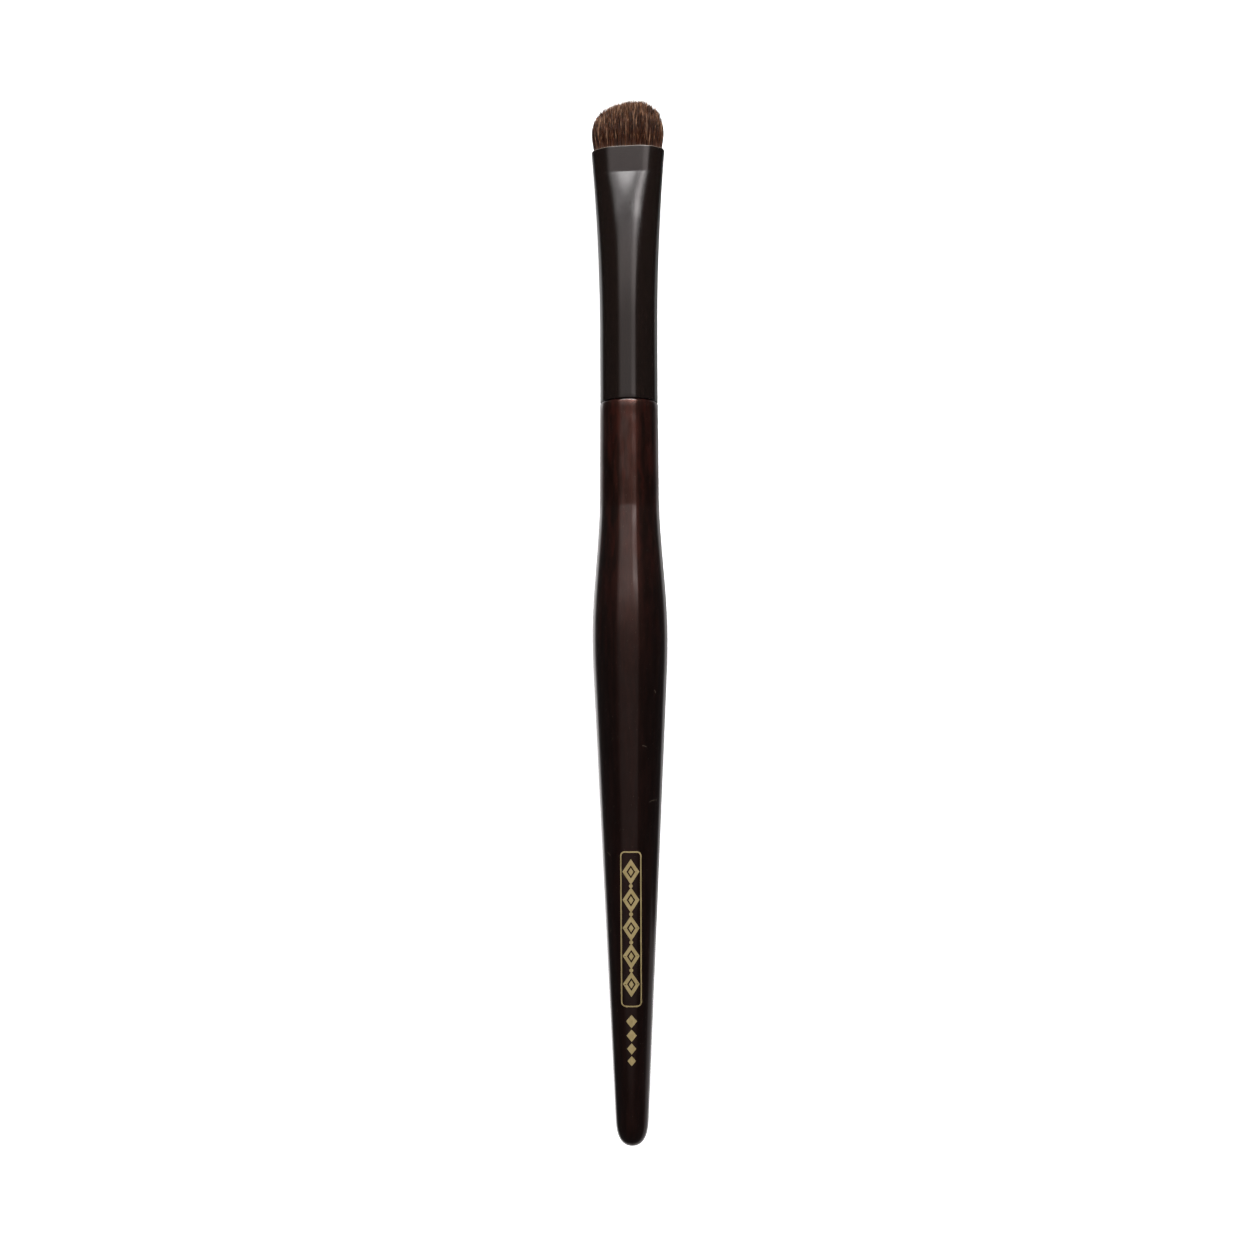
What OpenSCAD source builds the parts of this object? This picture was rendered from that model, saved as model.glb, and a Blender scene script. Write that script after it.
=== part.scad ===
/* [Handle] */
// Length of the handle that shows, from the ferrule's end to the tail
handle_l = 108; // [85:1:140]
// How far the neck stands proud of the ferrule's barrel all round
neck_proud = 0.025; // [0.02:0.005:0.5]
// Length of the neck, up to where it swells into the belly
neck_l = 13; // [6:0.2:20]
// What the neck gains in diameter along its length
neck_gain = 0.17; // [0:0.01:0.6]
// Radius of the rounded edge at the neck's shoulder
shoulder_round = 0.35; // [0.1:0.05:0.45]
// Diameter at the fullest point of the belly
belly_d = 10.92; // [9.5:0.01:13]
// Distance from the ferrule's end to the fullest point of the belly
belly_at = 34.1; // [26:0.1:45]
// Length over which the belly rounds into the straight taper
crown_l = 5.1; // [2:0.1:10]
// Diameter at which the taper would reach the start of the rounded tail
tail_d = 4.82; // [3.5:0.01:7]
// Length of the rounded tail
tail_l = 3.9; // [2:0.1:6]
// Distance by which the tenon stops short of the pressed part of the ferrule
tenon_stop = 0.6; // [0.2:0.1:2]
// Size of the chamfer round the tenon's nose
tenon_nose = 0.8; // [0.3:0.1:1.2]

/* [Ferrule] */
// Length of the metal ferrule
ferrule_l = 36.7; // [32:0.1:45]
// Outer diameter of its round barrel
ferrule_d = 8.35; // [7.4:0.01:8.4]
// Thickness of the metal
ferrule_wall = 0.35; // [0.25:0.01:0.5]
// Outer width of the flattened mouth
mouth_w = 10.69; // [9:0.01:13]
// Outer thickness of the flattened mouth
mouth_t = 4.62; // [3.6:0.01:6]
// Length of the flat pressed faces at the mouth
pressed_l = 3.7; // [2:0.1:6]
// Width of the flat on each pressed face
face_w = 2.4; // [2:0.1:5.5]
// Length below the pressed faces over which the flat fades into an oval back
face_fade_l = 6; // [3:0.1:12]
// Length over which the faces fall from the round barrel to the pressed faces
crush_l = 23.5; // [12:0.1:24]
// How much nearer the rim the sides start to spread than the faces start to fall
side_delay = 0.2; // [0:0.1:4]
// Radius of the rolled edges at both ends of the tube
rim_round = 0.12; // [0.04:0.01:0.12]

/* [Bristles] */
// Reach of the longest hair beyond the ferrule's rim
hair_l = 7.3; // [5:0.1:11]
// Rows of strands through the thickness of the tuft
hair_rows = 13; // [11:2:15]
// Strands in each row
hair_columns = 29; // [27:2:33]
// How far the hair swells past the inside of the mouth at each side
side_swell = 0.26; // [0:0.01:0.5]
// How far it swells past the inside of the mouth at each face
face_swell = 0.26; // [0:0.01:0.5]
// Height above the rim at which the swelling is full
swell_l = 2.6; // [1:0.1:4]
// Distance of the crown's highest point from the middle of the tuft
crown_shift = 0.85; // [0:0.05:2]
// Greatest unevenness of the hair tips
tip_uneven = 0.22; // [0:0.01:0.5]

/* [Inside the ferrule] */
// Depth below the rim from which the separate strands rise
strand_depth = 0.5; // [0.3:0.1:1]
// Thickness of the slice of packed hair that the strands are part of
slice_l = 1.2; // [0.8:0.1:2]
// Depth below the rim that the roots reach
root_l = 16; // [15:0.1:19]
// Depth below the rim at which the bundle starts to draw in from the metal
draw_in = 4.5; // [3:0.1:8]
// Diameter of the binding thread
thread_d = 0.3; // [0.2:0.01:0.4]
// Depth below the rim of the first turn of thread
thread_at = 9.2; // [8.5:0.1:10]
// Turns of thread round the bundle
thread_turns = 4; // [2:1:5]
// Rise of each turn of thread
thread_pitch = 0.76; // [0.72:0.01:0.9]
// Length of the resin beyond the ends of the roots
resin_l = 3; // [1:0.1:4]
// Depth of the hollow in the back of the resin
resin_dish = 0.5; // [0.1:0.1:0.8]
// Thickness of the glue film round the tenon
glue_film = 0.08; // [0.05:0.01:0.15]

/* [Hidden] */
$fn = 96;

// Steps along the curves of the handle and round the edges
ease_steps = 14;
crown_steps = 4;
tail_steps = 9;
round_steps = 4;
// Power of the rounded tail, where 2 would be an ellipse
tail_power = 2.8;
// Points round each section of the pressed tube, and the steps of half a flat
section_points = 64;
face_steps = 2;
// Steps along the falling faces of the tube, and along the roots
crush_steps = 12;
root_steps = 8;
// Clearance that keeps the pieces packed inside the tube from touching it
inner_fit = 0.03;
// The pressed end runs this far into the barrel, this far below its surfaces
lap_l = 0.4;
lap_inset = 0.02;

// Share of a cell that a strand fills at its foot and at its middle
foot_share = 0.8;
middle_share = 0.72;
// Share of a strand's height at which its middle section lies
middle_height_share = 0.66;
// Shares of half a cell that a strand leans sideways at its middle and at its tip, inside its cell
middle_lean_share = 0.25;
tip_lean_share = 0.9;
// Powers of the dome's outline on its long slope and on its short one
long_slope_power = [1.65, 4.9];
short_slope_power = [2.2, 3.4];
// Widths of the two slopes as shares of the tuft's half width
long_slope_share = 1.18;
short_slope_share = 0.84;
// Lowest height of the dome's outline, and loss of height at the faces, as shares of the reach
dome_foot_share = 0.5;
face_fall_share = 0.34;
face_fall_power = 2.4;
// Share of cosine spacing in the rows, which makes them thinner towards the faces
row_bunching_share = 0.5;
tip_seed = 11;
lean_seed = 5;
// Sides of the thread, and points along each of its turns
thread_sides = 6;
thread_points = 24;

face_angle = 360 * face_steps / section_points;
barrel_r = ferrule_d / 2;
bore_r = barrel_r - ferrule_wall;
press_l = pressed_l + crush_l;
spread_l = press_l - side_delay;
barrel_l = ferrule_l - press_l;
tenon_r = bore_r - glue_film;
tenon_l = barrel_l - tenon_stop;
neck_r = barrel_r + neck_proud;
neck_end_d = 2 * neck_r + neck_gain;
// The shoulder keeps a flat seat for the end of the tube
shoulder_r = min(shoulder_round, neck_r - bore_r);
belly_r = belly_d / 2;
tail_from = handle_l - tail_l;
taper_from = belly_at + crown_l / 2;
taper = (belly_d - tail_d) / (tail_from - taper_from);
overall_l = handle_l + ferrule_l + hair_l;
bound_gap = thread_d + 2 * inner_fit;
thread_l = thread_turns * thread_pitch;
resin_from = thread_at + thread_l + thread_d;
resin_to = root_l + resin_l;

function clamped(t) = min(max(t, 0), 1);
// Rises from 0 to 1 with level ends
function ease(t) = clamped(t) * clamped(t) * (3 - 2 * clamped(t));

// Diameter of the handle's straight taper at a distance from the ferrule
function taper_d(at) = belly_d - taper * (at - taper_from);
function belly_rise(at) =
    neck_end_d + (belly_d - neck_end_d) * ease((at - neck_l) / (belly_at - neck_l));
function crown_d(at) = belly_d - taper * pow(at - belly_at, 2) / (2 * crown_l);

// Outline of the handle from the tenon's nose to the tail, as [radius, height]
handle_outline = concat(
    [[0, tenon_l], [tenon_r - tenon_nose, tenon_l], [tenon_r, tenon_l - tenon_nose], [tenon_r, 0]],
    [for (k = [0 : round_steps]) let(a = 90 * k / round_steps)
        [neck_r - shoulder_r * (1 - sin(a)), -shoulder_r * (1 - cos(a))]],
    [for (k = [0 : ease_steps - 1]) let(at = neck_l + (belly_at - neck_l) * k / ease_steps)
        [belly_rise(at) / 2, -at]],
    [for (k = [0 : crown_steps]) let(at = belly_at + crown_l * k / crown_steps)
        [crown_d(at) / 2, -at]],
    [for (k = [0 : tail_steps]) let(a = 90 * k / tail_steps,
        at = tail_from + tail_l * pow(sin(a), 2 / tail_power))
        [taper_d(at) / 2 * pow(cos(a), 2 / tail_power), -at]]
);

// Outer width and thickness of the ferrule at a depth below its rim
function tube_w(depth) = ferrule_d + (mouth_w - ferrule_d) * pow(1 - clamped(depth / spread_l), 2);
function tube_t(depth) =
    ferrule_d - (ferrule_d - mouth_t) * pow(1 - clamped((depth - pressed_l) / crush_l), 2);

// Gap between the metal and the bundle of roots at a depth below the rim
function root_gap(depth) =
    inner_fit + (bound_gap - inner_fit) * ease((depth - draw_in) / (thread_at - thread_d - draw_in));

// Share of the pressed outline in the ferrule's section at a depth, the rest being an ellipse
function pressed_share(depth) = pow(1 - clamped((depth - pressed_l) / face_fade_l), 2);
function mixed(a, b, share) = a + (b - a) * share;

// A point of a section at an angle round it from the middle of one side. The pressed outline has
// a flat across each face and quarter ellipses beside it.
function section_point(half_w, half_t, share, angle) =
    let(side = cos(angle) < 0 ? -1 : 1, face = sin(angle) < 0 ? -1 : 1,
        lean = acos(abs(cos(angle))), turn = 90 * lean / (90 - face_angle),
        pressed_x = turn < 90 ? face_w / 2 + (half_w - face_w / 2) * cos(turn)
            : face_w / 2 * (90 - lean) / face_angle,
        pressed_y = half_t * sin(min(turn, 90)))
    [side * mixed(half_w * cos(lean), pressed_x, share),
        face * mixed(half_t * sin(lean), pressed_y, share)];

// A point of the pressed tube at a depth below the rim, moved in from its outer surface
function tube_point(depth, inset, angle) =
    let(p = section_point(tube_w(depth) / 2 - inset, tube_t(depth) / 2 - inset,
        pressed_share(depth), angle))
    [p[0], p[1], ferrule_l - depth];
function tube_section(depth, inset) =
    [for (k = [0 : section_points - 1]) tube_point(depth, inset, 360 * k / section_points)];

// Two triangles for each side between neighbouring sections of n points
function band_faces(first, second, n) =
    [for (k = [0 : n - 1]) let(next = (k + 1) % n)
        each [[first + k, second + k, second + next], [first + k, second + next, first + next]]];

// A closed ring of metal or filling: stations are [depth, inset], up the outside and down the inside
module tube_ring(stations) {
    count = len(stations);
    points = [for (s = stations) each tube_section(s[0], s[1])];
    faces = [for (k = [0 : count - 1])
        each band_faces(k * section_points, (k + 1) % count * section_points, section_points)];
    polyhedron(points, faces, convexity = 10);
}

// A closed plug from a middle point at one depth, through stations, to a middle point at another
module tube_plug(from_depth, stations, to_depth) {
    count = len(stations);
    last = (count - 1) * section_points;
    foot = count * section_points;
    points = concat([for (s = stations) each tube_section(s[0], s[1])],
        [[0, 0, ferrule_l - from_depth], [0, 0, ferrule_l - to_depth]]);
    faces = concat(
        [for (k = [0 : count - 2])
            each band_faces(k * section_points, (k + 1) * section_points, section_points)],
        [for (k = [0 : section_points - 1]) [foot, k, (k + 1) % section_points]],
        [for (k = [0 : section_points - 1]) [foot + 1, last + (k + 1) % section_points, last + k]]
    );
    polyhedron(points, faces, convexity = 10);
}

// Lays the brush, drawn upright from the ferrule's lower end, on its belly with its hair along Y
module lay_down() {
    translate([0, handle_l - overall_l / 2, belly_r]) rotate([-90, 0, 0]) children();
}

module handle() {
    color("#2a1a17") lay_down() rotate_extrude() polygon(handle_outline);
}

// The straight round part of the tube, with its lower edge rolled
module barrel() {
    rotate_extrude() polygon(concat(
        [[bore_r, 0]],
        [for (k = [0 : round_steps]) let(a = 90 * k / round_steps)
            [barrel_r - rim_round * (1 - sin(a)), rim_round * (1 - cos(a))]],
        [[barrel_r, barrel_l], [bore_r, barrel_l]]
    ));
}

// The pressed part of the tube, from inside the barrel to the rolled rim and back
module pressed_end() {
    fall = [for (k = [0 : crush_steps - 1]) press_l + (pressed_l - press_l) * k / crush_steps];
    tube_ring(concat(
        [[press_l + lap_l, lap_inset]],
        [for (depth = fall) [depth, depth == press_l ? lap_inset : 0]],
        [[pressed_l, 0]],
        [for (k = [0 : round_steps]) let(a = 90 * k / round_steps)
            [rim_round * (1 - sin(a)), rim_round * (1 - cos(a))]],
        [for (k = [0 : round_steps]) let(a = 90 * k / round_steps)
            [rim_round * (1 - cos(a)), ferrule_wall - rim_round * (1 - sin(a))]],
        [[pressed_l, ferrule_wall]],
        [for (k = [1 : crush_steps]) let(depth = fall[crush_steps - k])
            [depth, ferrule_wall - (depth == press_l ? lap_inset : 0)]],
        [[press_l + lap_l, ferrule_wall - lap_inset]]
    ));
}

module ferrule() {
    color("#2b2523") lay_down() union() {
        barrel();
        pressed_end();
    }
}

// Half width and half thickness of the hair at a height above the ferrule's lower end
function hair_half_w(height) = let(depth = ferrule_l - height)
    tube_w(depth) / 2 - ferrule_wall - inner_fit + side_swell * ease(-depth / swell_l);
function hair_half_t(height) = let(depth = ferrule_l - height)
    tube_t(depth) / 2 - ferrule_wall - inner_fit + face_swell * ease(-depth / swell_l);

// A point of the tuft: u and v run from -1 to 1 across its width and its thickness
function hair_point(u, v, height) =
    [u * (face_w / 2 + (hair_half_w(height) - face_w / 2) * sqrt(1 - v * v)),
        v * hair_half_t(height), height];

// Edges of the cells that hold one strand each
u_edges = [for (k = [0 : hair_columns]) 2 * k / hair_columns - 1];
v_edges = [for (k = [0 : hair_rows]) let(straight = 2 * k / hair_rows - 1)
    row_bunching_share * -cos(180 * k / hair_rows) + (1 - row_bunching_share) * straight];

// Height of the dome's outline across the tuft, as a share of the reach
crown_u = crown_shift / (mouth_w / 2 - ferrule_wall);
function slope(t, power) = pow(1 - pow(clamped(t), power[0]), 1 / power[1]);
function dome_share(u) = max(dome_foot_share, u < crown_u
    ? slope((crown_u - u) / long_slope_share, long_slope_power)
    : slope((u - crown_u) / short_slope_share, short_slope_power));
function face_share(v) = 1 - face_fall_share * pow(abs(v), face_fall_power);

strand_from = ferrule_l - strand_depth;
slice_from = strand_from - slice_l;
tip_drops = rands(0, tip_uneven, hair_rows * hair_columns, tip_seed);
leans = rands(-1, 1, hair_rows * hair_columns, lean_seed);
function tip_height(u, v, k) = ferrule_l + hair_l * dome_share(u) * face_share(v) - tip_drops[k];

// A point of the strand in cell i, j: its place in the cell runs from -1 to 1 each way, and the
// share of its sideways lean that it takes
function strand_point(i, j, place, lean_share, height) =
    let(u = (u_edges[i] + u_edges[i + 1]) / 2, v = (v_edges[j] + v_edges[j + 1]) / 2,
        half_u = (u_edges[i + 1] - u_edges[i]) / 2, half_v = (v_edges[j + 1] - v_edges[j]) / 2,
        lean = lean_share * leans[j * hair_columns + i])
    hair_point(u + half_u * (place[0] + lean), v + half_v * place[1], height);

// Four corners of a strand's section, a share of its cell
function strand_ring(i, j, share, lean_share, height) =
    [for (c = [[-1, -1], [1, -1], [1, 1], [-1, 1]]) strand_point(i, j, share * c, lean_share, height)];

// The nine points of one strand: foot, middle and tip
function strand_points(i, j) =
    let(u = (u_edges[i] + u_edges[i + 1]) / 2, v = (v_edges[j] + v_edges[j + 1]) / 2,
        tip = tip_height(u, v, j * hair_columns + i),
        middle = strand_from + (tip - strand_from) * middle_height_share)
    concat(strand_ring(i, j, foot_share, 0, strand_from),
        strand_ring(i, j, middle_share, middle_lean_share, middle),
        [strand_point(i, j, [0, 0], tip_lean_share, tip)]);

// Indexes of the grid of cell corners on the slice's top, and the points of one strand
grid_row = hair_columns + 1;
grid_count = grid_row * (hair_rows + 1);
strand_size = 9;
function corner(i, j) = j * grid_row + i;

// The cell's corners, its strand's foot, its middle and its tip, joined by triangles
function strand_faces(i, j) =
    let(cell = [corner(i, j), corner(i + 1, j), corner(i + 1, j + 1), corner(i, j + 1)],
        foot = grid_count + strand_size * (j * hair_columns + i))
    [for (k = [0 : 3]) let(next = (k + 1) % 4)
        each [[cell[k], foot + k, foot + next], [cell[k], foot + next, cell[next]],
            [foot + k, foot + 4 + k, foot + 4 + next], [foot + k, foot + 4 + next, foot + next],
            [foot + 4 + k, foot + 8, foot + 4 + next]]];

// The slice's edge, once round
slice_edge = concat(
    [for (i = [0 : hair_columns - 1]) [i, 0]],
    [for (j = [0 : hair_rows - 1]) [hair_columns, j]],
    [for (i = [hair_columns : -1 : 1]) [i, hair_rows]],
    [for (j = [hair_rows : -1 : 1]) [0, j]]
);

// Every strand and the slice of packed hair below them, as one closed surface
module bristles() {
    edge_count = len(slice_edge);
    low = grid_count + strand_size * hair_rows * hair_columns;
    points = concat(
        [for (j = [0 : hair_rows]) for (i = [0 : hair_columns])
            hair_point(u_edges[i], v_edges[j], strand_from)],
        [for (j = [0 : hair_rows - 1]) for (i = [0 : hair_columns - 1]) each strand_points(i, j)],
        [for (e = slice_edge) hair_point(u_edges[e[0]], v_edges[e[1]], slice_from)],
        [[0, 0, slice_from]]
    );
    faces = concat(
        [for (j = [0 : hair_rows - 1]) for (i = [0 : hair_columns - 1]) each strand_faces(i, j)],
        [for (k = [0 : edge_count - 1]) let(next = (k + 1) % edge_count,
            high = corner(slice_edge[k][0], slice_edge[k][1]),
            beside = corner(slice_edge[next][0], slice_edge[next][1]))
            each [[low + k, high, beside], [low + k, beside, low + next],
                [low + edge_count, low + k, low + next]]]
    );
    color("#4a3226") lay_down() polyhedron(points, faces, convexity = 10);
}

// The packed hair below the slice, drawn in where the thread binds it
module bristle_roots() {
    top = strand_depth + slice_l;
    depths = [for (k = [0 : root_steps]) root_l + (top - root_l) * k / root_steps];
    color("#3a261d") lay_down() tube_plug(root_l,
        [for (depth = depths) [depth, ferrule_wall + root_gap(depth)]], top);
}

// The thread's middle at step k, and the way out from the bundle there
function thread_depth(k) = thread_at + thread_pitch * k / thread_points;
function thread_inset(k) = ferrule_wall + root_gap(thread_depth(k)) - thread_d / 2 - inner_fit / 2;
function thread_point(k) = tube_point(thread_depth(k), thread_inset(k), 360 * k / thread_points);
function thread_out(k) =
    let(way = tube_point(thread_depth(k), 0, 360 * k / thread_points) - thread_point(k))
    way / norm(way);

thread_last = thread_turns * thread_points;
thread_gap = min([for (k = [0 : thread_last - thread_points])
    norm(thread_point(k + thread_points) - thread_point(k))]) - thread_d;

// One unbroken helix of thread with flat ends
module root_binding_thread() {
    echo(thread_gap = thread_gap);
    points = [for (k = [0 : thread_last]) for (s = [0 : thread_sides - 1])
        let(a = 360 * s / thread_sides)
        thread_point(k) + thread_d / 2 * (cos(a) * thread_out(k) - sin(a) * [0, 0, 1])];
    foot = (thread_last + 1) * thread_sides;
    faces = concat(
        [for (k = [0 : thread_last - 1])
            each band_faces(k * thread_sides, (k + 1) * thread_sides, thread_sides)],
        [for (s = [1 : thread_sides - 2]) [0, s, s + 1]],
        [for (s = [1 : thread_sides - 2])
            [foot - thread_sides, foot - thread_sides + s + 1, foot - thread_sides + s]]
    );
    color("#cdbf9a") lay_down() polyhedron(points, faces, convexity = 10);
}

// Resin cast round and behind the ends of the roots, hollowed at its back
module root_resin() {
    inside = root_l + inner_fit;
    outer_inset = ferrule_wall + inner_fit;
    steps = [for (k = [0 : root_steps]) resin_to + (resin_from - resin_to) * k / root_steps];
    color("#b98a3c", 0.9) lay_down() tube_plug(resin_to - resin_dish, concat(
        [for (depth = steps) [depth, outer_inset]],
        [for (k = [0 : 2]) let(depth = resin_from + (inside - resin_from) * k / 2)
            [depth, ferrule_wall + root_gap(depth) - inner_fit / 2]]
    ), inside);
}

// The film between tenon and tube, and the bead that it leaves round the tenon's nose
module handle_glue() {
    color("#d9cfa8") lay_down() rotate_extrude() polygon([
        [tenon_r, 0], [bore_r, 0], [bore_r, tenon_l],
        [tenon_r - tenon_nose, tenon_l], [tenon_r, tenon_l - tenon_nose]
    ]);
}

handle();
ferrule();
bristles();
bristle_roots();
root_binding_thread();
root_resin();
handle_glue();
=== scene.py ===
import math

import bpy
import numpy as np
from mathutils import Matrix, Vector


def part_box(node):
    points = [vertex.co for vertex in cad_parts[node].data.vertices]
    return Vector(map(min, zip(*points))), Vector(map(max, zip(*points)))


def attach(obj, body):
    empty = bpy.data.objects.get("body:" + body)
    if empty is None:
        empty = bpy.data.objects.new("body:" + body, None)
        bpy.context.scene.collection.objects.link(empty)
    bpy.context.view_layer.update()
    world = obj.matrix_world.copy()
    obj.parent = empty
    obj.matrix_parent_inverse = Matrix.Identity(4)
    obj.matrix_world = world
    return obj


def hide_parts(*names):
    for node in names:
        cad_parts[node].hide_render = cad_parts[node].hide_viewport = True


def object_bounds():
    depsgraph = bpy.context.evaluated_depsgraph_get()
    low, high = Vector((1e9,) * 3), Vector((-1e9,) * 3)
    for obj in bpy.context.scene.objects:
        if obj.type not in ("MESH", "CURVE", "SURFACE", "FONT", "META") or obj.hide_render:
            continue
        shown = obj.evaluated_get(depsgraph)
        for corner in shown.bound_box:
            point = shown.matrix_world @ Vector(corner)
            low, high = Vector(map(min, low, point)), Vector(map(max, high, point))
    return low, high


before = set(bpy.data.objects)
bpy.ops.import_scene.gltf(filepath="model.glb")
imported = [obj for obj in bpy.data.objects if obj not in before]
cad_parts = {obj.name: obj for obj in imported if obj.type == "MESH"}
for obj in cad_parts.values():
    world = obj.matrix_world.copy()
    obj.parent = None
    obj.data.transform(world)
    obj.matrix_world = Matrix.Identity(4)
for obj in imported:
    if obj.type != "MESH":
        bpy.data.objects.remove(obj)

packedLow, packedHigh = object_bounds()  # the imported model's box, straight after loading
print("frame loaded:", sorted(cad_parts))

mm = 0.001
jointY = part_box("ferrule")[0].y  # where the handle meets the ferrule
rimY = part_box("ferrule")[1].y
axisZ = sum(corner.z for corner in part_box("handle")) / 2  # height of the brush's axis


# Quads between neighbouring rings of a grid, each ring closed on itself and numbered the way
# that makes the faces look outward when the rings run from the first to the last
def ringQuads(rings, around, joinEnds=False):
    last = rings if joinEnds else rings - 1
    ring = np.arange(last)[:, None]
    side = np.arange(around)[None, :]
    after = (ring + 1) % rings
    beside = (side + 1) % around
    corners = (ring * around + side, ring * around + beside, after * around + beside, after * around + side)
    return np.stack(np.broadcast_arrays(*corners), axis=-1).reshape(-1, 4)


# Triangles from one pole point to the ring that starts at a given vertex
def poleFan(pole, start, around, flip):
    side = start + np.arange(around)
    beside = start + (np.arange(around) + 1) % around
    order = (beside, side) if flip else (side, beside)
    return np.stack((np.full(around, pole), *order), axis=-1)


# Angles in radians from one to another given in degrees, both ends in
def sweep(low, high, count):
    return np.radians(np.linspace(low, high, count))


# Puts arrays of points and of faces into a new object at the origin
def makePiece(name, points, faces, finish, sharpAngle=None):
    mesh = bpy.data.meshes.new(name)
    mesh.from_pydata(points.reshape(-1, 3), [], [list(map(int, face)) for block in faces for face in block])
    mesh.polygons.foreach_set("use_smooth", np.ones(len(mesh.polygons), bool))
    if sharpAngle:
        mesh.set_sharp_from_angle(angle=math.radians(sharpAngle))
    mesh.materials.append(finish)
    mesh.update()
    piece = bpy.data.objects.new(name, mesh)
    bpy.context.scene.collection.objects.link(piece)
    return piece


# Rises from 0 to 1 with level ends: three times the square less twice the cube
def ease(t):
    t = np.clip(t, 0, 1)
    return t * t * (3 - 2 * t)


# The start, and a share of the way from there to the end
def between(start, end, share):
    return start + (end - start) * share


# A colour as it looks on a screen, 0 to 255, turned into the light it stands for
def tone(red, green, blue):
    parts = np.array([red, green, blue]) / 255
    light = np.where(parts <= 0.04045, parts / 12.92, ((parts + 0.055) / 1.055) ** 2.4)
    return (*map(float, light), 1.0)


# A number on its way through the nodes, so that sums of such numbers add their own nodes
class Flow:
    def __init__(self, finish, socket):
        self.finish = finish
        self.socket = socket

    def worked(self, operation, first, second):
        return self.finish.add("Math", {"operation": operation}, {0: first, 1: second})

    def __add__(self, other):
        return self.worked("ADD", self, other)

    def __sub__(self, other):
        return self.worked("SUBTRACT", self, other)

    def __rsub__(self, other):
        return self.worked("SUBTRACT", other, self)

    def __mul__(self, other):
        return self.worked("MULTIPLY", self, other)

    def __gt__(self, other):
        return self.worked("GREATER_THAN", self, other)

    def __lt__(self, other):
        return self.worked("LESS_THAN", self, other)

    def __abs__(self):
        return self.finish.add("Math", {"operation": "ABSOLUTE"}, {0: self})

    __radd__ = __add__
    __rmul__ = __mul__


# The nodes of one material, world or lamp
class Finish:
    def __init__(self, owner):
        self.owner = owner
        owner.use_nodes = True
        self.tree = owner.node_tree
        self.tree.nodes.clear()

    # A node of a kind, its settings first, then the values or links of its sockets
    def add(self, kind, settings=None, sockets=None, output=0):
        node = self.tree.nodes.new("ShaderNode" + kind)
        for key, value in (settings or {}).items():
            if key == "stops":
                self.setStops(node.color_ramp, value)
            else:
                setattr(node, key, value)
        for key, value in (sockets or {}).items():
            if isinstance(value, Flow):
                self.tree.links.new(value.socket, node.inputs[key])
            else:
                node.inputs[key].default_value = value
        return Flow(self, node.outputs[output]) if node.outputs else node

    def setStops(self, ramp, stops):
        while len(ramp.elements) < len(stops):
            ramp.elements.new(1)
        for element, (place, value) in zip(ramp.elements, stops):
            element.position = place
            element.color = value if isinstance(value, tuple) else (value, value, value, 1)

    # Object coordinates in millimetres, stretched and shifted by a Mapping node
    def place(self, scale=(1, 1, 1), location=(0, 0, 0)):
        spot = self.add("TexCoord", output="Object")
        return self.add("Mapping", None, {"Vector": spot, "Scale": [s / mm for s in scale],
                                          "Location": location})

    # The X, Y or Z of a vector as a number
    def part(self, vector, axis):
        return self.add("SeparateXYZ", None, {0: vector}, output=axis)

    def noise(self, where, scale, detail=3, roughness=0.5, distortion=0.0):
        return self.add("TexNoise", None, {"Vector": where, "Scale": scale, "Detail": detail,
                                           "Roughness": roughness, "Distortion": distortion})

    # A value stretched from one range onto 0 to 1, with or without eased ends
    def spread(self, value, low, high, eased=True):
        kind = "SMOOTHSTEP" if eased else "LINEAR"
        return self.add("MapRange", {"interpolation_type": kind},
                        {"Value": value, "From Min": low, "From Max": high})

    def blend(self, share, first, second):
        return self.add("Mix", {"data_type": "RGBA"}, {0: share, 6: first, 7: second}, output=2)

    def bump(self, height, strength, distance):
        return self.add("Bump", None, {"Height": height, "Strength": strength, "Distance": distance})

    def surface(self, sockets):
        shader = self.add("BsdfPrincipled", None, sockets)
        self.add("OutputMaterial", None, {"Surface": shader})
        return self.owner


def newFinish(name):
    return Finish(bpy.data.materials.new(name))


ferrule = {
    "length": rimY - jointY,
    "barrelD": 8.35 * mm,  # diameter of the round end
    "wall": 0.35 * mm,
    "mouthW": 10.69 * mm,
    "mouthT": 4.62 * mm,
    "pressedL": 3.7 * mm,  # how far the press reached below the rim
    "faceW": 2.4 * mm,  # width of the flat on each face
    "fadeL": 6 * mm,  # length over which the flats fade into the oval
    "crushL": 23.5 * mm,  # length from the press to the round barrel
    "sideDelay": 0.2 * mm,  # by which the sides' spread falls short of the round barrel
    "rimRound": 0.12 * mm,
    "creaseRound": 0.1 * mm,  # half the length over which the crease turns
    "around": 192,  # points round the section
    "faceAngle": 11.25,  # degrees of the section's turn that half of a flat takes up
    "black": (tone(19, 13, 11), tone(27, 18, 15)),
    "dust": tone(96, 88, 80),
    "rim": tone(142, 128, 117),  # pale grey where the black has worn off, and a painted highlight along the rim's edge
    "rimWearAndHighlight": (0.14, 0.03),  # millimetres below the rim at which the pale band of wear and painted highlight starts and is full
    "pulled": (5, 1.5),  # millimetres behind the press at which pulled lines start and are full
}
pressL = ferrule["pressedL"] + ferrule["crushL"]
spreadL = pressL - ferrule["sideDelay"]


# 0 up to the start, then rising by 1 for each unit, with a parabola across the bend
def softRamp(x, softness):
    return np.where(x > softness, x, np.clip(x + softness, 0, None) ** 2 / (4 * softness))


# Width: the barrel's, plus what the mouth adds times the square of what is left of the spread
def tubeWidth(depth):
    left = 1 - np.clip(depth / spreadL, 0, 1)
    return ferrule["barrelD"] + (ferrule["mouthW"] - ferrule["barrelD"]) * left ** 2


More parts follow.
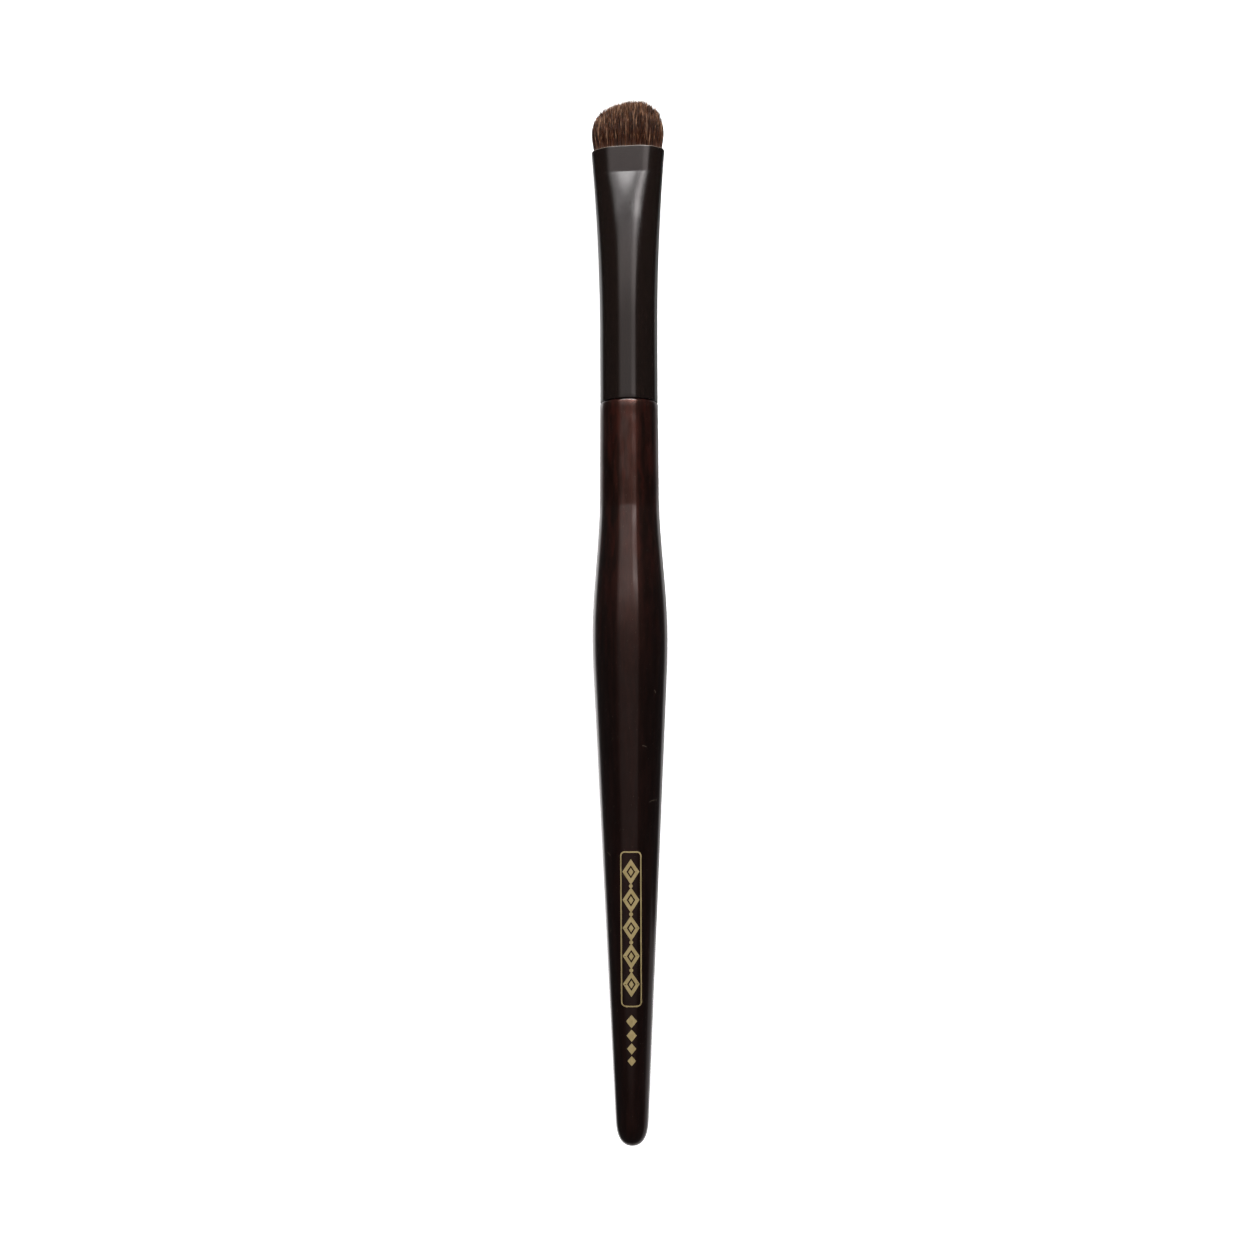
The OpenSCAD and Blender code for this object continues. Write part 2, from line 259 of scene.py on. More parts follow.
# Thickness: the barrel's, less what pressing takes times the square of what is left of the fall
def tubeThickness(depth):
    fallen = softRamp(depth - ferrule["pressedL"], ferrule["creaseRound"]) / ferrule["crushL"]
    return ferrule["barrelD"] - (ferrule["barrelD"] - ferrule["mouthT"]) * (1 - np.clip(fallen, 0, 1)) ** 2


# A point of the section: an oval, mixed by depth with flats that have quarter ovals beside them
def tubePoints(depth, inset, angle):
    halfW = tubeWidth(depth) / 2 - inset
    halfT = tubeThickness(depth) / 2 - inset
    faded = softRamp(depth - ferrule["pressedL"], ferrule["creaseRound"]) / ferrule["fadeL"]
    pressed = (1 - np.clip(faded, 0, 1)) ** 2
    lean = np.degrees(np.arccos(np.clip(np.abs(np.cos(angle)), 0, 1)))
    turn = 90 * lean / (90 - ferrule["faceAngle"])
    halfFace = ferrule["faceW"] / 2
    roundX = halfFace + (halfW - halfFace) * np.cos(np.radians(np.minimum(turn, 90)))
    flatX = halfFace * (90 - lean) / ferrule["faceAngle"]
    pressedX = np.where(turn < 90, roundX, flatX)
    pressedZ = halfT * np.sin(np.radians(np.minimum(turn, 90)))
    x = between(halfW * np.cos(np.radians(lean)), pressedX, pressed)
    z = between(halfT * np.sin(np.radians(lean)), pressedZ, pressed)
    y = np.broadcast_to(rimY - depth, x.shape)
    return np.stack((np.sign(np.cos(angle)) * x, y, axisZ + np.sign(np.sin(angle)) * z), axis=-1)


# Up the outside of the tube, round its rolled rim and down the inside, as depth and inset. The
# count that ends each linspace puts the rings closest together where the crease turns
def tubeStations():
    wall, bend = ferrule["wall"], ferrule["rimRound"]
    crease, soft = ferrule["pressedL"], 3 * ferrule["creaseRound"]
    quarter = sweep(0, 90, 8)
    outside = np.concatenate((
        np.linspace(ferrule["length"] - bend, pressL + 0.5 * mm, 12),
        np.linspace(pressL + 0.4 * mm, crease + soft, 110),
        np.linspace(crease + soft, crease - soft, 25)[1:-1],
        np.linspace(crease - soft, bend, 14),
    ))
    foot = np.stack((ferrule["length"] - bend + bend * np.cos(quarter), bend * (1 - np.sin(quarter))), 1)
    rimOut = np.stack((bend * (1 - np.sin(quarter)), bend * (1 - np.cos(quarter))), 1)
    rimIn = np.stack((bend * (1 - np.cos(quarter)), wall - bend * (1 - np.sin(quarter))), 1)
    inside = np.concatenate((
        np.linspace(bend, crease - soft, 8)[1:],
        np.linspace(crease - soft, crease + soft, 9)[1:],
        np.linspace(crease + soft, pressL, 50)[1:],
        np.linspace(pressL, ferrule["length"], 6)[1:],
    ))
    return np.concatenate((
        foot[:-1],
        np.stack((outside, np.zeros_like(outside)), 1),
        rimOut[1:],
        rimIn,
        np.stack((inside, np.full_like(inside, wall)), 1),
    ))


# Black with faint draw lines and specks of dust, and pale grey along the rim, which is partly wear and partly
# a painted highlight on the rim's edge.
# The bump is a slow ripple, the fine draw lines, and coarser lines that the press has pulled behind its mark
def lacquerFinish():
    finish = newFinish("gloss_black_lacquer")
    fine = finish.place()
    along = finish.part(fine, "Y")
    ripple = finish.noise(fine, 0.35, 2)
    lines = finish.noise(finish.place((1, 0.04, 1)), 14, 3, 0.6)
    dust = finish.spread(finish.noise(fine, 9, 2, 0.6), 0.74, 0.8)
    smear = finish.noise(fine, 1.3, 4, 0.6)
    colour = finish.blend(finish.spread(lines, 0.35, 0.7), *ferrule["black"])
    colour = finish.blend(dust * 0.35, colour, ferrule["dust"])
    # worn is the pale band along the rim: wear, and a painted highlight on the rim's edge
    worn = finish.spread(along, *(rimY / mm - below for below in ferrule["rimWearAndHighlight"]))
    colour = finish.blend(worn * 0.9, colour, ferrule["rim"])
    pressEnd = (rimY - ferrule["pressedL"]) / mm
    pulled = finish.spread(along, *(pressEnd - behind for behind in ferrule["pulled"])) * (along < pressEnd)
    pulled = pulled * finish.noise(finish.place((1, 0.03, 1), (3, 2, 5)), 4.5, 2, 0.6)
    height = ripple * 0.7 + lines * 0.06 + pulled * 0.4
    return finish.surface({
        "Base Color": colour,
        "Roughness": 0.11 + smear * 0.08 + dust * 0.25,
        "IOR": 1.5,
        "Normal": finish.bump(height, 0.3, 0.02 * mm),
    })


# The section carried along the stations, whose last ring joins the first
def makeFerrule():
    stations = tubeStations()
    angle = np.radians(np.arange(ferrule["around"]) * 360 / ferrule["around"])
    points = tubePoints(stations[:, :1], stations[:, 1:], angle[None, :])
    piece = makePiece("ferrule_tube", points, [ringQuads(len(stations), ferrule["around"], True)],
                      lacquerFinish(), sharpAngle=50)
    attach(piece, "root")
    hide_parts("ferrule")
    return piece


ferruleTube = makeFerrule()
print("ferrule made:", len(ferruleTube.data.polygons), "faces")


handle = {
    "length": 108 * mm,
    "neckProud": 0.025 * mm,  # by which the neck's radius is more than the barrel's
    "neckL": 13 * mm,
    "neckGain": 0.17 * mm,  # what the neck's diameter gains over its length
    "shoulderRound": 0.35 * mm,
    "bellyD": 10.92 * mm,
    "bellyAt": 34.1 * mm,  # past the joint
    "crownL": 5.1 * mm,  # length over which the belly turns into the taper
    "tailD": 4.82 * mm,  # where the tail starts to round
    "tailL": 3.9 * mm,
    "tailPower": 2.8,  # 2 makes the tail a plain ellipse
    "tenonGlue": 0.08 * mm,  # thickness of the glue round the tenon
    "tenonStop": 0.6 * mm,  # from the tenon's nose to where the tube starts to flatten
    "tenonNose": 0.8 * mm,
    "around": 128,  # points round the section
    "neck": (tone(11, 5, 4), tone(36, 15, 11)),
    "neckClouds": tone(18, 8, 6),
    "neckPatches": tone(48, 18, 13),
    "tail": (tone(5, 1, 1), tone(16, 5, 4)),
    "darkens": (-14, 25),  # millimetres of Y between the tail's colours and the neck's
    "handled": ((16.9, 17.5), (30.7, 31.3)),  # millimetres of Y at the ends of the duller neck
    "shoulderL": 0.9,  # millimetres of the neck over which the bump rounds its shoulder
    "dust": tone(142, 128, 114),
    "scratchBend": 0.6,
    "scratchFine": 0.0012,  # square of half a scratch's width in millimetres
    # X and Y of the middle in millimetres, degrees of turn and length in millimetres
    "scratches": ((2.4, -17.5, 20, 0.6), (3.5, -25.4, -5, 1.0), (3.9, -9.8, 70, 0.5), (-2.9, -33.1, 35, 0.7)),
}
neckR = ferrule["barrelD"] / 2 + handle["neckProud"]
tailFrom = handle["length"] - handle["tailL"]
taperFrom = handle["bellyAt"] + handle["crownL"] / 2
taper = (handle["bellyD"] - handle["tailD"]) / (tailFrom - taperFrom)


# Radius of the handle behind its rounded shoulder and before its rounded tail: a neck that
# gains a little, an eased rise to the belly, a parabola over its crown and a straight taper
def handleRadius(at):
    neck = 2 * neckR + handle["neckGain"] * np.clip(at / handle["neckL"], 0, 1)
    rise = neck + (handle["bellyD"] - neck) * ease(
        (at - handle["neckL"]) / (handle["bellyAt"] - handle["neckL"]))
    crown = handle["bellyD"] - taper * (at - handle["bellyAt"]) ** 2 / (2 * handle["crownL"])
    straight = handle["bellyD"] - taper * (at - taperFrom)
    past = at > handle["bellyAt"]
    return np.where(past, np.where(at > handle["bellyAt"] + handle["crownL"], straight, crown), rise) / 2


# The outline from the tenon's nose to the tail's last ring, as distance past the joint and
# radius. The shoulder is a quarter circle, and the tail is a quarter of a fuller ellipse
def handleOutline():
    boreR = ferrule["barrelD"] / 2 - ferrule["wall"]
    tenonR = boreR - handle["tenonGlue"]
    tenonL = ferrule["length"] - pressL - handle["tenonStop"]
    nose = handle["tenonNose"]
    bend = min(handle["shoulderRound"], neckR - boreR)
    crownEnd = handle["bellyAt"] + handle["crownL"]
    quarter = sweep(0, 90, 12)
    tail = sweep(0, 90, 40)[1:-1]
    body = np.concatenate((np.linspace(bend, handle["neckL"], 16)[1:-1],
                           np.linspace(handle["neckL"], crownEnd, 130),
                           np.linspace(crownEnd, tailFrom, 110)[1:]))
    reach = tailFrom + handle["tailL"] * np.sin(tail) ** (2 / handle["tailPower"])
    tailR = handleRadius(reach) * np.cos(tail) ** (2 / handle["tailPower"])
    at = np.concatenate(([-tenonL, -tenonL + nose, 0], bend * (1 - np.cos(quarter)), body, reach))
    radius = np.concatenate(([tenonR - nose, tenonR, tenonR], neckR - bend * (1 - np.sin(quarter)),
                             handleRadius(body), tailR))
    return at, radius


# A point at a distance past the joint, an angle from the top toward +X and a radius
def onHandle(at, angle, radius):
    x, y, z = np.broadcast_arrays(radius * np.sin(angle), jointY - at, axisZ + radius * np.cos(angle))
    return np.stack((x, y, z), axis=-1)


# Short bent marks on the upper side: a mark is where the distance along it is under half its
# length, and the distance off it, with a share of the square of the first, is under half its width
def scratchMarks(finish, plain):
    marks = 0
    for x, y, turn, long in handle["scratches"]:
        spot = finish.add("VectorRotate", {"rotation_type": "Z_AXIS"}, {
            "Vector": plain, "Center": (x, y, 0), "Angle": math.radians(turn)})
        run = finish.part(spot, "X") - x
        off = finish.part(spot, "Y") - y + run * run * handle["scratchBend"]
        upper = finish.part(spot, "Z") > axisZ / mm
        marks = marks + (run * run < long * long / 4) * (off * off < handle["scratchFine"]) * upper * 0.8
    return marks


# Blotchy streaks along the grain over a finer grain, darker and plainer toward the tail, with
# specks of dust and a few short scratches. The clear coat is thinner on the part of the neck
# that a hand has worn. The bump is a slow ripple with a trace of the grain, and falls away at
# the shoulder by a square
def woodFinish():
    finish = newFinish("lacquered_dark_wood")
    plain = finish.place()
    streaks = finish.noise(finish.place((1, 0.085, 1)), 1.9, 4, 0.62, 0.35)
    fibres = finish.noise(finish.place((1, 0.02, 1), (7, 3, 1)), 7.5, 3, 0.6)
    clouds = finish.noise(finish.place((1, 0.3, 1), (2, 5, 4)), 0.42, 2)
    along = finish.part(plain, "Y")
    figure = finish.spread(streaks * 0.78 + fibres * 0.22, 0.42, 0.64)
    neck = finish.blend(figure, *handle["neck"])
    neck = finish.blend(finish.spread(clouds, 0.45, 0.75) * 0.6, neck, handle["neckClouds"])
    patches = finish.noise(finish.place((1, 0.3, 1), (5, 8, 2)), 0.75, 2, 0.5, 0.4)
    neck = finish.blend(finish.spread(patches, 0.52, 0.68) * 0.45, neck, handle["neckPatches"])
    tail = finish.blend(figure, *handle["tail"])
    colour = finish.blend(finish.spread(along, *handle["darkens"]), tail, neck)
    dust = finish.spread(finish.noise(finish.place((1, 0.8, 1), (3, 1, 8)), 7, 1), 0.77, 0.8)
    colour = finish.blend((dust + scratchMarks(finish, plain)) * 0.5, colour, handle["dust"])
    ripple = finish.noise(plain, 0.34, 3, 0.45)
    lowEnd, highEnd = handle["handled"]
    handled = finish.spread(along + finish.noise(plain, 0.9, 3) * 0.8, *lowEnd)
    handled = handled * (1 - finish.spread(along, *highEnd))
    smears = finish.spread(finish.noise(finish.place((1, 0.5, 1), (9, 2, 6)), 0.8, 3), 0.4, 0.65)
    shoulder = finish.spread(along, jointY / mm - handle["shoulderL"], jointY / mm, False)
    height = ripple + finish.spread(fibres, 0.25, 0.45) * 0.02 - shoulder * shoulder * 3.3
    return finish.surface({
        "Base Color": colour,
        "Roughness": 0.3,
        "Specular IOR Level": 0.5,
        "Specular Tint": (1.0, 0.46, 0.36, 1.0),
        "Coat Weight": 1 - handled * (0.88 - smears * 0.3) - (1 - handled) * (1 - smears) * 0.2,
        "Coat Roughness": 0.04,
        "Coat IOR": 1.5,
        "Normal": finish.bump(height, 0.8, 0.045 * mm),
    })


# The outline turned round the axis, closed by a fan at each end
def makeHandle():
    at, radius = handleOutline()
    around = handle["around"]
    angle = np.radians(np.arange(around) * 360 / around)
    rings = onHandle(at[:, None], angle[None, :], radius[:, None])
    poles = np.array([[0, jointY - at[0], axisZ], [0, jointY - handle["length"], axisZ]])
    points = np.concatenate((rings.reshape(-1, 3), poles))
    count = len(at) * around
    faces = [ringQuads(len(at), around), poleFan(count, 0, around, True),
             poleFan(count + 1, count - around, around, False)]
    piece = makePiece("handle_wood", points, faces, woodFinish(), sharpAngle=40)
    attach(piece, "root")
    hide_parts("handle")
    return piece


handleWood = makeHandle()
print("handle made:", len(handleWood.data.polygons), "faces")


# The ornament's lengths are in millimetres, and its places are past the joint
foil = {
    "facing": 5.0,  # degrees from the top toward +X
    "thick": 0.012 * mm,
    "sunk": 0.01 * mm,
    "frame": {"from": 64.5, "to": 87.0, "half": 1.55, "line": 0.2, "corner": 0.7},
    "lozenges": {"from": 65.6, "count": 5, "pitch": 4.06, "long": 3.7, "wide": 2.45, "line": 0.5},
    "kernel": {"long": 0.32, "wide": 0.3},  # shares of the lozenge round it
    "bead": 0.56,
    "tail": {"from": 88.1, "longs": (1.95, 1.8, 1.65, 1.5), "wide": 1.6, "gap": 0.2},
    "gold": (tone(176, 156, 104), tone(214, 196, 146)),
    "worn": tone(88, 70, 42),
}


# A strip of foil between two edges given as distance past the joint and distance across, laid
# in columns on the handle's round surface, with a thickness and closed ends unless it is a ring
def foilStrip(left, right, columns, ring=False):
    share = np.linspace(0, 1, columns + 1)[None, :, None]
    sheet = between(left[:, None], right[:, None], share) * mm
    sheet = np.concatenate((sheet, sheet[:, ::-1]), axis=1)
    lift = np.repeat((foil["thick"], -foil["sunk"]), columns + 1)
    radius = handleRadius(sheet[..., 0])
    points = onHandle(sheet[..., 0], math.radians(foil["facing"]) + sheet[..., 1] / radius, radius + lift)
    count, around = points.shape[:2]
    faces = ringQuads(count, around, ring).tolist()
    if not ring:
        faces += [list(range(around))[::-1], list(range(count * around - around, count * around))]
    return points.reshape(-1, 3), faces


# Edges of a filled lozenge (power 1) or bead (power 2) from a start toward the tail: the half
# width is the root of one less that power of the distance from the middle
def filledShape(start, long, wide, power):
    t = np.sin(sweep(-84, 84, 25))
    half = wide / 2 * (1 - np.abs(t) ** power) ** (1 / power)
    at = start + long / 2 * (1 + t)
    return np.stack((at, half), 1), np.stack((at, -half), 1)


# A closed outline of four straight sides, the inner edge set in by the line's width
def openLozenge(start, long, wide, line):
    turn = np.linspace(0, 4, 48, endpoint=False)
    side = turn % 1
    x = np.choose(turn.astype(int), (1 - side, -side, side - 1, side))
    y = np.choose(turn.astype(int), (side, 1 - side, -side, side - 1))
    inset = line * math.hypot(long, wide) / (long * wide) * 2
    middle = start + long / 2
    edges = [np.stack((middle + long / 2 * scale * x, wide / 2 * scale * y), 1) for scale in (1, 1 - inset)]
    return edges[0], edges[1]


# A rounded rectangle as straight sides and quarter circles, and the same set in by the line
def frameEdges(start, end, half, line, corner):
    quarter = sweep(0, 90, 9)
    short, long = (np.linspace(1, -1, count)[1:-1] for count in (14, 24))
    longer, shorter = (end - start) / 2 - corner, half - corner

    def edge(bend):
        parts = []
        for turn, (sx, sy) in enumerate(((1, 1), (-1, 1), (-1, -1), (1, -1))):
            angle = quarter + turn * math.pi / 2
            parts.append((sx * longer + bend * np.cos(angle), sy * shorter + bend * np.sin(angle)))
            if turn % 2:
                parts.append((np.full_like(short, sx * (longer + bend)), sy * short * shorter))
            else:
                parts.append((sx * long * longer, np.full_like(long, sy * (shorter + bend))))
        return np.concatenate([np.stack(part, 1) for part in parts]) + ((start + end) / 2, 0)

    return edge(corner), edge(corner - line)


# Pale gold with soft clouds, rubbed darker and duller in small spots
def foilFinish():
    finish = newFinish("gold_foil")
    fine = finish.place()
    worn = finish.spread(finish.noise(fine, 6, 4, 0.7), 0.62, 0.74)
    colour = finish.blend(finish.noise(fine, 1.1, 3), *foil["gold"])
    colour = finish.blend(worn * 0.75, colour, foil["worn"])
    return finish.surface({
        "Base Color": colour,
        "Metallic": 0.55 - worn * 0.3,
        "Roughness": 0.4 + worn * 0.25,
        "Normal": finish.bump(finish.noise(fine, 12, 3), 0.2, 0.01 * mm),
    })


# Edges and columns of every strip: the frame, a row of open lozenges with a kernel in each and
# a bead between, and four filled lozenges that grow smaller toward the tail
def foilShapes():
    border, row, kernel, bead, tail = (foil[key] for key in ("frame", "lozenges", "kernel", "bead", "tail"))
    edges = frameEdges(border["from"], border["to"], border["half"], border["line"], border["corner"])
    shapes = [(*edges, 1, True)]
    for k in range(row["count"]):
        start = row["from"] + k * row["pitch"]
        shapes.append((*openLozenge(start, row["long"], row["wide"], row["line"]), 1, True))
        inner = start + row["long"] * (1 - kernel["long"]) / 2
        shapes.append((*filledShape(inner, row["long"] * kernel["long"], row["wide"] * kernel["wide"], 1), 2))
        if k:
            middle = start - (row["pitch"] - row["long"]) / 2
            shapes.append((*filledShape(middle - bead / 2, bead, bead, 2), 2))
    start = tail["from"]
    for long in tail["longs"]:
        shapes.append((*filledShape(start, long, tail["wide"] * long / tail["longs"][0], 1), 8))
        start += long + tail["gap"]
    return shapes


def makeFoil():
    points, faces, count = [], [], 0
    for shape in foilShapes():
        spots, quads = foilStrip(*shape)
        points.append(spots)
        faces += [[corner + count for corner in quad] for quad in quads]
        count += len(spots)
    piece = makePiece("foil_ornament", np.concatenate(points), [faces], foilFinish(), sharpAngle=30)
    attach(piece, "root")
    return piece


foilOrnament = makeFoil()
print("foil made:", len(foilOrnament.data.polygons), "faces")


hair = {
    "reach": 7.3 * mm,  # of the crown past the rim
    "sideSwell": 0.26 * mm,
    "faceSwell": 0.26 * mm,
    "swellL": 2.6 * mm,  # height at which the swelling is full
    "crownShift": 0.85 * mm,  # of the crown to the right
    "leftSlope": (1.18, (1.65, 4.9)),  # the slope's length in half widths, and its powers
    "rightSlope": (0.84, (2.2, 3.4)),
    "sideShare": 0.5,  # least height at the sides, as a share of the reach
    "faceFall": (0.34, 2.4),  # what the faces lack of the middle's height, and its power
    "fit": 0.03 * mm,  # left free between the hair and the tube
    "from": 1.6 * mm,  # depth below the rim at which the hairs start
    "spacing": 0.094 * mm,
    "jitter": 0.32,  # most that a foot is off its place, as a share of the spacing
    "thick": 0.048 * mm,  # radius of a hair
    "taper": 0.13,  # share of a hair that thins to its point
    "taperPower": 0.6,
    "locks": 1300,
    "draw": 0.7,  # how far a lock's tips draw together
    "lift": 0.27 * mm,  # by which all tips are raised
    "lockDrop": 0.31 * mm,  # most that a lock falls short
    "proud": 0.22 * mm,  # by which some hairs stand out of the dome
    "proudHairs": (0.365, 0.435),  # draws between these stand proud
    "notch": 0.25 * mm,  # what small bundles of neighbouring hairs differ by at the tip
    "notchCell": 0.3 * mm,  # the width of such a bundle
    "hairDrop": 0.4 * mm,  # most that a single hair falls short
    "faceDrop": 4.2 * mm,  # further drop of some hairs on the two faces
    "lean": 0.21 * mm,  # how far a lock's tip leans aside
    "stray": 0.28 * mm,  # how far a single tip leans aside
    "sidewards": (0.8, 0.55),  # shares of such a lean across the tuft and through it
    "wave": 0.06 * mm,  # how far a hair waves to each side
    "waves": (0.7, 1.6),  # over a hair's length
    "bulge": 0.07,  # how far locks stand out or lie in, as a share of the half thickness
    "rings": 14,
    "pieces": 3,  # that the hairs are dealt out to
    "cell": (0.1 * mm, 1.6 * mm, 0.15 * mm),  # size of the streaks of lighter and darker hair
    "cellLeans": (0.16, -0.2),  # of the two sets of streaks
    "contrast": (0.95, 1.05),  # of the tones at the rim, and what the full reach adds
    "middleTone": 0.46,
    "streakTone": 0.65,
    "hairTone": 0.6,
    "paleAndGlintHairs": (0.94, 0.7),  # draws over the first number are lighter by the second: paler hairs, and painted glints along single hairs
    "darkHairs": (0.1, 0.5),
    "shaft": ((0.0, tone(12, 2, 1)), (0.22, tone(30, 10, 4)), (0.45, tone(54, 27, 15)),
              (0.62, tone(77, 44, 28)), (0.8, tone(112, 76, 55)), (1.0, tone(198, 158, 129))),
    "tips": (tone(29, 11, 5), tone(138, 101, 75)),
    # the feet's colours paint the lit, greyer look of the hair just above the rim
    "litFeet": (tone(40, 22, 15), tone(112, 84, 70)),
    "mapWidth": (0.985, 0.012),  # of the range of tones and of one hair, in the UV map
    "seed": 55,
}
crownU = hair["crownShift"] / (ferrule["mouthW"] / 2 - ferrule["wall"])


# One less a power of t, to one over another power
def slope(t, powers):
    return (1 - np.clip(t, 0, 1) ** powers[0]) ** (1 / powers[1])


# Height of the dome's outline across the tuft as a share of the reach, long slope on the left
def domeShare(u):
    (leftL, leftPowers), (rightL, rightPowers) = hair["leftSlope"], hair["rightSlope"]
    left = slope((crownU - u) / leftL, leftPowers)
    right = slope((u - crownU) / rightL, rightPowers)
    return np.maximum(hair["sideShare"], np.where(u < crownU, left, right))


# One less a share of a power of the distance from the tuft's middle sheet
def faceShare(v):
    fall, power = hair["faceFall"]
    return 1 - fall * np.abs(v) ** power


# Half the tuft's width at v: half the flat, and an ellipse's share of the rest
def halfWidth(v, halfW):
    halfFace = ferrule["faceW"] / 2
    return halfFace + (halfW - halfFace) * np.sqrt(np.clip(1 - v * v, 0, 1))


# A point of the tuft: u and v run from -1 to 1 across its width and its thickness, and the tuft
# swells as it leaves the mouth
def tuftPoints(u, v, height):
    grown = ease(height / hair["swellL"])
    inside = ferrule["wall"] + hair["fit"]
    halfW = tubeWidth(-height) / 2 - inside + hair["sideSwell"] * grown
    halfT = tubeThickness(-height) / 2 - inside + hair["faceSwell"] * grown
    return np.stack(np.broadcast_arrays(u * halfWidth(v, halfW), rimY + height, axisZ + v * halfT), axis=-1)


# Feet of the hairs: a jittered grid of staggered rows over the mouth, kept where it is inside
def hairFeet(draws):
    step, jitter = hair["spacing"], hair["jitter"]
    inside = ferrule["wall"] + hair["fit"] + hair["thick"]
    halfW = ferrule["mouthW"] / 2 - inside
    halfT = ferrule["mouthT"] / 2 - inside
    columns = np.arange(-halfW - step, halfW + step, step)
    rows = np.arange(-halfT - step, halfT + step, step * math.sqrt(3) / 2)
    x, z = np.meshgrid(columns, rows)
    x = x + (np.arange(len(rows)) % 2)[:, None] * step / 2
    x, z = (part.ravel() + draws.uniform(-jitter, jitter, part.size) * step for part in (x, z))
    v = z / halfT
    u = x / halfWidth(v, halfW)
    kept = (np.abs(v) < 1) & (np.abs(u) < 1)
    return u[kept], v[kept]


# Smooth random values from 0 to 1 in a lattice of long thin cells that lean sideways with height:
# the eight corners' values, weighted by the eased distance to each
def streakValues(points, lean, draws):
    x, y, z = np.moveaxis(points, -1, 0)
    spots = np.stack((x + lean * (y - rimY), y, z), axis=-1) / hair["cell"]
    spots = spots - spots.reshape(-1, 3).min(axis=0)
    corner = spots.astype(int)
    part = ease(spots - corner)
    lattice = draws.uniform(0, 1, corner.reshape(-1, 3).max(axis=0) + 2)
    value = np.zeros(spots.shape[:-1])
    for step in np.ndindex(2, 2, 2):
        near = np.where(step, part, 1 - part).prod(axis=-1)
        value += near * lattice[tuple(np.moveaxis(corner + step, -1, 0))]
    return value


# Brown by the tone that the map's X gives, browner at the tips, and greyer at the feet, where the grey is a
# painted sheen of light on the hair just above the rim.
# The map's Y tells the tips and the feet apart
def hairFinish():
    finish = newFinish("brown_hair")
    spot = finish.add("UVMap", {"uv_map": "OFBake"})
    shade = finish.part(spot, "X")
    along = finish.part(spot, "Y")
    shaft = finish.add("ValToRGB", {"stops": hair["shaft"]}, {0: shade})
    tips = finish.blend(shade, *hair["tips"])
    # painted light: the feet's narrower, greyer range stands for the sheen on the hair above the rim
    litFeet = finish.blend(shade, *hair["litFeet"])
    colour = finish.blend(finish.spread(along, 0.8, 1.0) * 0.5, shaft, tips)
    colour = finish.blend((1 - finish.spread(along, 0.3, 0.55)) * 0.7, colour, litFeet)
    return finish.surface({
        "Base Color": colour,
        "Roughness": 0.34,
        "Specular IOR Level": 0.27,
        "Specular Tint": (1.0, 0.8, 0.66, 1.0),
    })


# Height of each tip past the rim: the dome's, less what its lock, the hair itself, its place on
# a face and its small bundle take off, plus what some hairs stand proud by
def tipHeights(u, v, lock, odd, draws):
    drop = hair["lockDrop"] * draws.uniform(0, 1, hair["locks"])[lock] - hair["lift"]
    drop += hair["hairDrop"] * draws.uniform(0, 1, len(u)) ** 3
    proudFrom, proudTo = hair["proudHairs"]
    drop -= hair["proud"] * ((odd > proudFrom) & (odd < proudTo))
    drop += hair["faceDrop"] * draws.uniform(0, 1, len(u)) ** 2 * np.abs(v) ** 3
    halfW, halfT = ferrule["mouthW"] / 2, ferrule["mouthT"] / 2
    bundleX = ((u + 1) * halfW / hair["notchCell"]).astype(int)
    bundleZ = ((v + 1) * halfT / hair["notchCell"] / 2).astype(int)
    ownDraws = np.random.default_rng(hair["seed"] + 1)
    notches = ownDraws.uniform(0, 1, (bundleX.max() + 1, bundleZ.max() + 1))
    drop += hair["notch"] * (notches[bundleX, bundleZ] - 0.25)
    return hair["reach"] * domeShare(u) * faceShare(v) - drop


